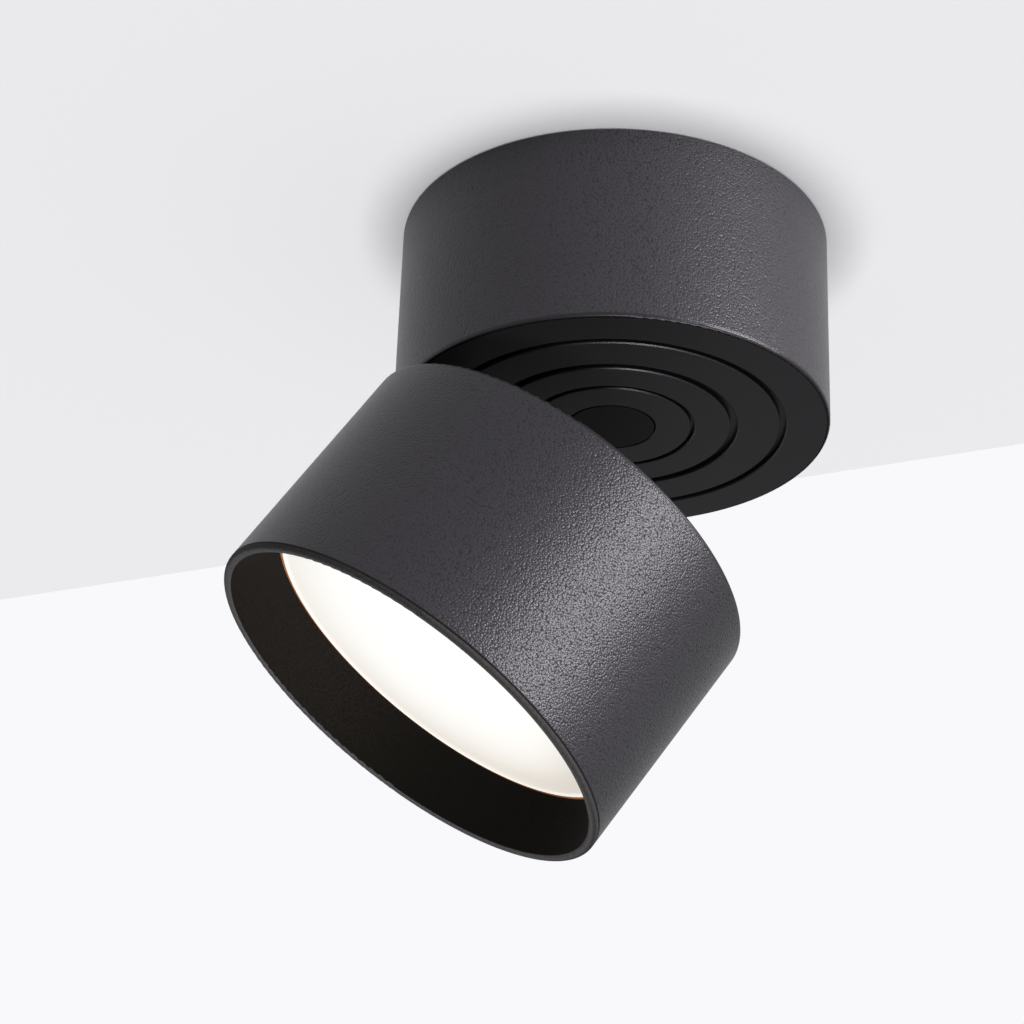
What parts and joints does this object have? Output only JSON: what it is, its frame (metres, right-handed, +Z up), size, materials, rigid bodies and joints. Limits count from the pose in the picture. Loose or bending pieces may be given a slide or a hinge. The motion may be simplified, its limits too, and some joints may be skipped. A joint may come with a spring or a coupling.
{
  "type": "ceiling spotlight",
  "caption": "Surface-mounted ceiling spotlight: a round black base that pans and an equally wide head that tilts on a concealed hinge, with an opal diffuser set back in its mouth.",
  "frame": {"origin": "centre of the two ceiling fixings, on the ceiling face", "axes": "+Z up into the ceiling along the pan axis; at rest the head leans toward -X; the tilt axis runs along +Y"},
  "size_m": [0.1349, 0.1, 0.1488],
  "materials": {
    "zinc_steel": "zinc plated",
    "black_rubber": "matte",
    "nylon_washer": "matte",
    "spring_steel": "satin",
    "black_powder_coat": "die cast, with a fine textured black powder coat",
    "black_plastic": "matte",
    "polished_steel": "ground",
    "white_plastic": "matte",
    "green_board": "solder mask",
    "yellow_tape": "tape",
    "capacitor_sleeve": "shrunk sleeve",
    "brass": "bright",
    "blue_wire": "insulation",
    "brown_wire": "insulation",
    "green_wire": "insulation",
    "black_wire": "insulation",
    "bare_aluminium": "die cast",
    "grey_pad": "soft pad",
    "white_board": "white solder mask",
    "led_phosphor": "phosphor",
    "opal_plastic": "opal, lit from behind"
  },
  "bodies": {
    "ceiling_mount": {"ceiling_plate": "zinc_steel", "pan_nipple": "zinc_steel", "cable_grommet": "black_rubber", "pan_lower_nut": "zinc_steel", "pan_lower_washer": "nylon_washer", "pan_upper_washer": "spring_steel", "pan_upper_nut": "zinc_steel", "pan_stop_stud": "zinc_steel"},
    "base": {"base_shell": "black_powder_coat", "centre_cap": "black_plastic", "hinge_pin": "polished_steel", "pin_clip": "spring_steel", "hinge_washers": "nylon_washer", "driver_case": "white_plastic", "driver_lid": "white_plastic", "driver_board": "green_board", "driver_transformer": "yellow_tape", "driver_capacitors": "capacitor_sleeve", "driver_screws": "zinc_steel", "terminal_block": "white_plastic", "terminal_screws": "brass", "terminal_fixings": "zinc_steel", "neutral_lead": "blue_wire", "live_lead": "brown_wire", "earth_lead": "green_wire", "earth_screw": "brass", "output_lead": "black_wire", "lead_clip": "white_plastic"},
    "head": {"head_shell": "black_powder_coat", "hinge_arm": "black_powder_coat", "arm_screws": "zinc_steel", "lead_grommet": "black_rubber", "heat_sink": "bare_aluminium", "heat_sink_screws": "zinc_steel", "thermal_pad": "grey_pad", "led_board": "white_board", "led_chips": "led_phosphor", "led_board_screws": "zinc_steel", "board_connector": "white_plastic", "led_lead": "black_wire", "reflector": "white_plastic", "diffuser": "opal_plastic"}
  },
  "joints": [
    {"name": "pan", "type": "hinge", "parent": "ceiling_mount", "child": "base", "pos_m": [0, 0, 0], "axis": [0, 0, 1], "range_deg": [-175, 175]},
    {"name": "tilt", "type": "hinge", "parent": "base", "child": "head", "pos_m": [-0.044, 0, -0.0425], "axis": [0, 1, 0], "range_deg": [-33.6, 56.4]}
  ]
}
